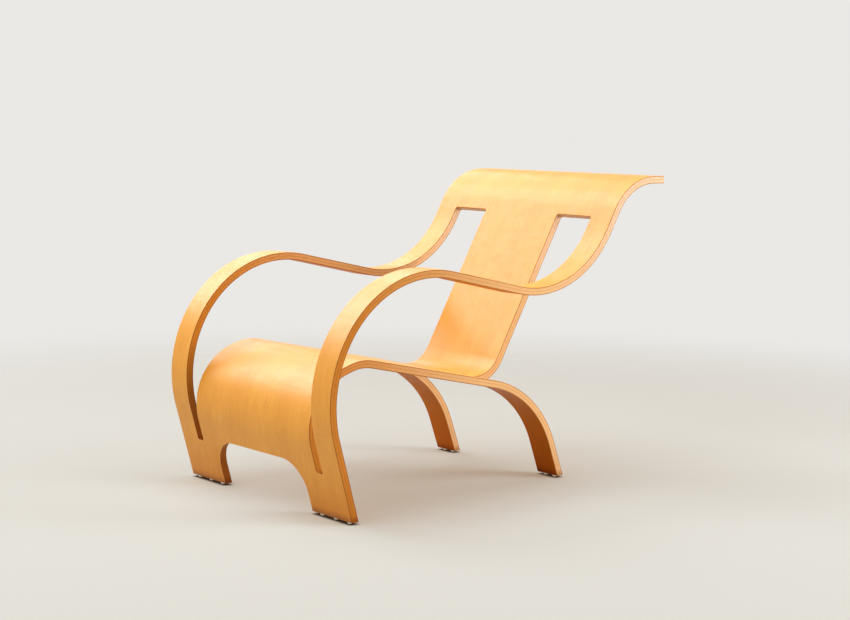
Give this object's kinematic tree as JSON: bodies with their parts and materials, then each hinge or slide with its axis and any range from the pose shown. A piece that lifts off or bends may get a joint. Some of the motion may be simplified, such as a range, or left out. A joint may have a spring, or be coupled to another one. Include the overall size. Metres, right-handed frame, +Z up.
{
  "type": "lounge chair",
  "caption": "Low lounge chair bent from slit birch laminate: looping arms, sloping seat, open reclined back and rolled crest, standing on small metal glides.",
  "frame": {"origin": "on the floor, in the middle of the chair's outline", "axes": "+X to the sitter's left, +Y to the rear (the chair faces -Y), +Z up"},
  "size_m": [0.605, 0.9617, 0.7],
  "materials": {
    "birch_face": "clear satin lacquer over warm birch face veneer, fine straight grain",
    "birch_long_grain": "lacquered veneer edge with its grain along the edge",
    "birch_cross_grain": "lacquered veneer edge, end grain, darker",
    "glide_steel": "worn nickel-plated steel"
  },
  "bodies": {
    "root": {"veneer_01_face": "birch_face", "veneer_02_cross": "birch_cross_grain", "veneer_03_long": "birch_long_grain", "veneer_04_cross": "birch_cross_grain", "veneer_05_long": "birch_long_grain", "veneer_06_cross": "birch_cross_grain", "veneer_07_long": "birch_long_grain", "veneer_08_cross": "birch_cross_grain", "veneer_09_long": "birch_long_grain", "veneer_10_cross": "birch_cross_grain", "veneer_11_long": "birch_long_grain", "veneer_12_cross": "birch_cross_grain", "veneer_13_back": "birch_face", "glide_front_left_1": "glide_steel", "glide_front_left_2": "glide_steel", "glide_front_left_3": "glide_steel", "glide_front_right_1": "glide_steel", "glide_front_right_2": "glide_steel", "glide_front_right_3": "glide_steel", "glide_rear_left_1": "glide_steel", "glide_rear_left_2": "glide_steel", "glide_rear_right_1": "glide_steel", "glide_rear_right_2": "glide_steel"}
  },
  "joints": []
}
